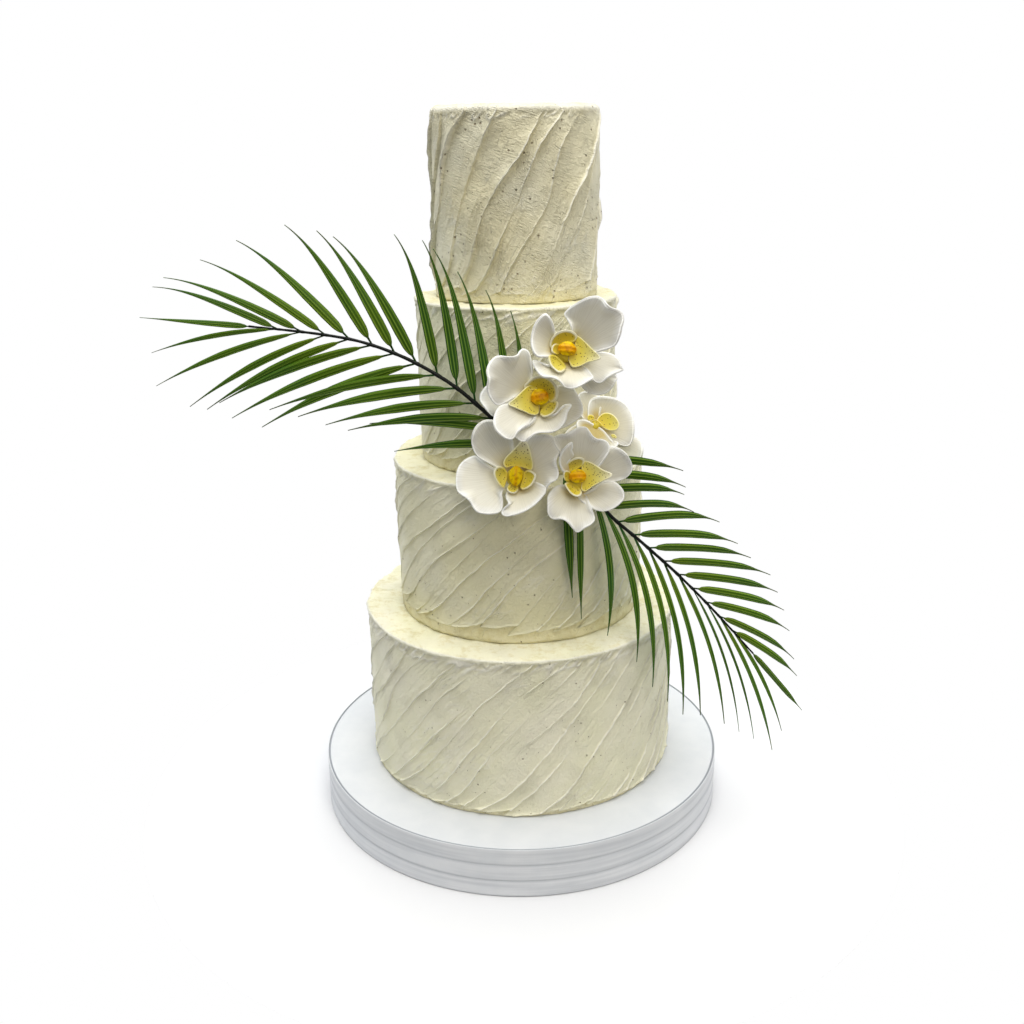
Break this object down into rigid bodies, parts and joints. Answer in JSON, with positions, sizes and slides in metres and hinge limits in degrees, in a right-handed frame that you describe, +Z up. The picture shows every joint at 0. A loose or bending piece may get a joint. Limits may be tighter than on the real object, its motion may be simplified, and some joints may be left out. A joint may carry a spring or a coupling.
{
  "type": "tiered wedding cake",
  "caption": "Round tiered wedding cake in strokes of ivory buttercream, on a wrapped board, with palm fronds and a spray of moth orchids at the front.",
  "frame": {"origin": "centre of the board's underside, on the axis of the tiers", "axes": "+Z up along the tiers' axis, -Y towards the front with the flowers, +X to the right seen from the front"},
  "size_m": [0.5142, 0.3556, 0.5917],
  "materials": {
    "board_wrap": "white satin foil over a cake drum",
    "buttercream": "ivory buttercream in rough spatula strokes, soft sheen",
    "palm_leaf": "fresh palm leaflets, waxy, pleated lengthwise",
    "orchid_petal": "thick white petals with rounded rims and faint veins",
    "orchid_lip": "yellow lip spotted dark red",
    "orchid_callus": "waxy orange",
    "orchid_stem": "pale green stem"
  },
  "bodies": {
    "root": {"board": "board_wrap", "tier_1": "buttercream", "tier_2": "buttercream", "tier_3": "buttercream", "tier_4": "buttercream", "frond_left": "palm_leaf", "frond_right": "palm_leaf", "orchid_1_petals": "orchid_petal", "orchid_1_lip": "orchid_lip", "orchid_1_callus": "orchid_callus", "orchid_1_stem": "orchid_stem", "orchid_2_petals": "orchid_petal", "orchid_2_lip": "orchid_lip", "orchid_2_callus": "orchid_callus", "orchid_2_stem": "orchid_stem", "orchid_3_petals": "orchid_petal", "orchid_3_lip": "orchid_lip", "orchid_3_callus": "orchid_callus", "orchid_3_stem": "orchid_stem", "orchid_4_petals": "orchid_petal", "orchid_4_lip": "orchid_lip", "orchid_4_callus": "orchid_callus", "orchid_4_stem": "orchid_stem", "orchid_5_petals": "orchid_petal", "orchid_5_lip": "orchid_lip", "orchid_5_callus": "orchid_callus", "orchid_5_stem": "orchid_stem"}
  },
  "joints": []
}
